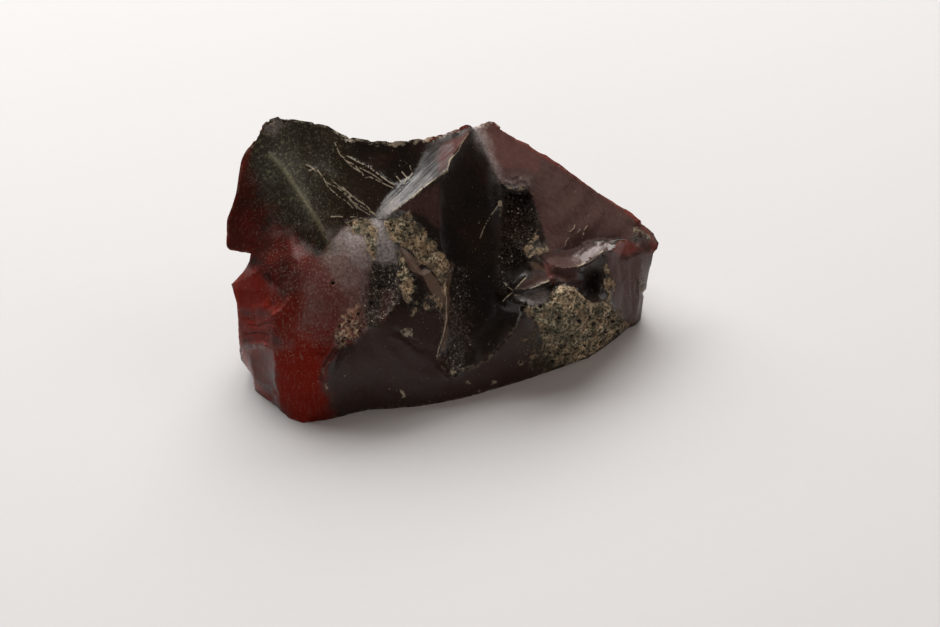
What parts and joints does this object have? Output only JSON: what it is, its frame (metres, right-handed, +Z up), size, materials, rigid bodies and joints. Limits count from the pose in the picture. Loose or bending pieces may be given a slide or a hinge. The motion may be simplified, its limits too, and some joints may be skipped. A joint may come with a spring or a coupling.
{
  "type": "obsidian chunk",
  "caption": "Broken lump of black-brown obsidian with sharp ridges, shell-shaped scars, a raised thin wing, a deep valley and a knob of pitted rind, on a flat base.",
  "frame": {"origin": "middle of the bounding box, on the ground under the stone", "axes": "+X along the stone's length towards its pointed right end, +Z up, -Y towards the broad front face"},
  "size_m": [0.095, 0.0628, 0.0517],
  "materials": {
    "obsidian": "glossy black-brown volcanic glass, frosted in places, with tan pitted rind"
  },
  "bodies": {
    "root": {"obsidian_chunk": "obsidian"}
  },
  "joints": []
}
